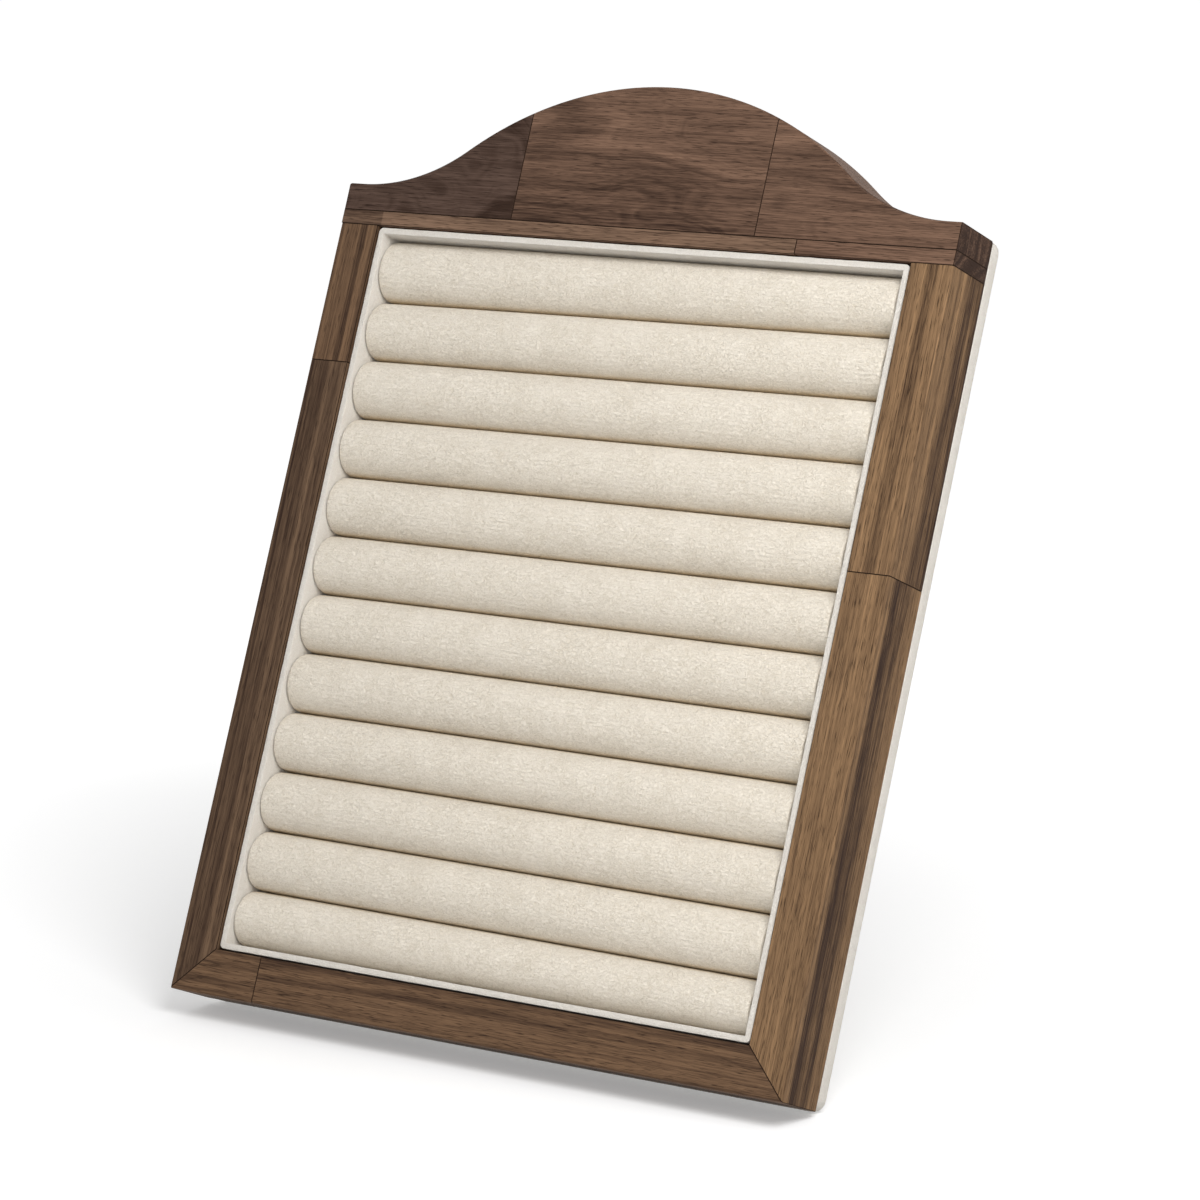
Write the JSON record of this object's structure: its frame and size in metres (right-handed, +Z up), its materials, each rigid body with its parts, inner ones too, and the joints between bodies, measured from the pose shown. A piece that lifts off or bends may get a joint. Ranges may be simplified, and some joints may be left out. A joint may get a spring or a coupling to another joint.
{
  "type": "ring display board",
  "caption": "Tabletop ring display board: arched walnut frame, fabric tray with ring rolls, fabric back and a folding easel strut.",
  "frame": {"origin": "on the table under the middle of the standing board's box", "axes": "+Z up from the table, +X to the right seen from the front, +Y to the back; the board leans back by 21.3 degrees"},
  "size_m": [0.23, 0.1452, 0.2951],
  "materials": {
    "walnut_dark": "satin",
    "walnut_warm": "satin",
    "beech": "matte",
    "fibreboard": "matte",
    "greyboard": "matte",
    "foam": "matte",
    "roll_fabric": "matte",
    "tray_fabric": "matte",
    "steel": "satin"
  },
  "bodies": {
    "board": {"crown_block_left": "walnut_dark", "crown_block_centre": "walnut_dark", "crown_block_right": "walnut_dark", "crown_strip_left": "walnut_dark", "crown_strip_right": "walnut_dark", "left_stile_lower": "walnut_dark", "left_stile_upper": "walnut_dark", "bottom_rail_left": "walnut_dark", "bottom_rail_right": "walnut_dark", "right_stile_lower": "walnut_warm", "right_stile_upper": "walnut_warm", "crown_dowels": "beech", "mitre_v_nails": "steel", "tray_base": "greyboard", "tray_wall_top": "greyboard", "tray_wall_bottom": "greyboard", "tray_wall_left": "greyboard", "tray_wall_right": "greyboard", "tray_cover": "tray_fabric", "roll_foam_01": "foam", "roll_cover_01": "roll_fabric", "roll_foam_02": "foam", "roll_cover_02": "roll_fabric", "roll_foam_03": "foam", "roll_cover_03": "roll_fabric", "roll_foam_04": "foam", "roll_cover_04": "roll_fabric", "roll_foam_05": "foam", "roll_cover_05": "roll_fabric", "roll_foam_06": "foam", "roll_cover_06": "roll_fabric", "roll_foam_07": "foam", "roll_cover_07": "roll_fabric", "roll_foam_08": "foam", "roll_cover_08": "roll_fabric", "roll_foam_09": "foam", "roll_cover_09": "roll_fabric", "roll_foam_10": "foam", "roll_cover_10": "roll_fabric", "roll_foam_11": "foam", "roll_cover_11": "roll_fabric", "roll_foam_12": "foam", "roll_cover_12": "roll_fabric", "back_panel": "fibreboard", "back_cover": "tray_fabric", "hinge_fixed_leaf": "steel", "hinge_pin": "steel", "panel_rivets": "steel"},
    "strut": {"strut_board": "fibreboard", "strut_cover": "tray_fabric", "strut_rivets": "steel", "hinge_moving_leaf": "steel"}
  },
  "joints": [
    {"name": "strut_hinge", "type": "hinge", "parent": "board", "child": "strut", "pos_m": [0, 0.01535, 0.15739], "axis": [-1, 0, 0], "range_deg": [0, 40]}
  ]
}
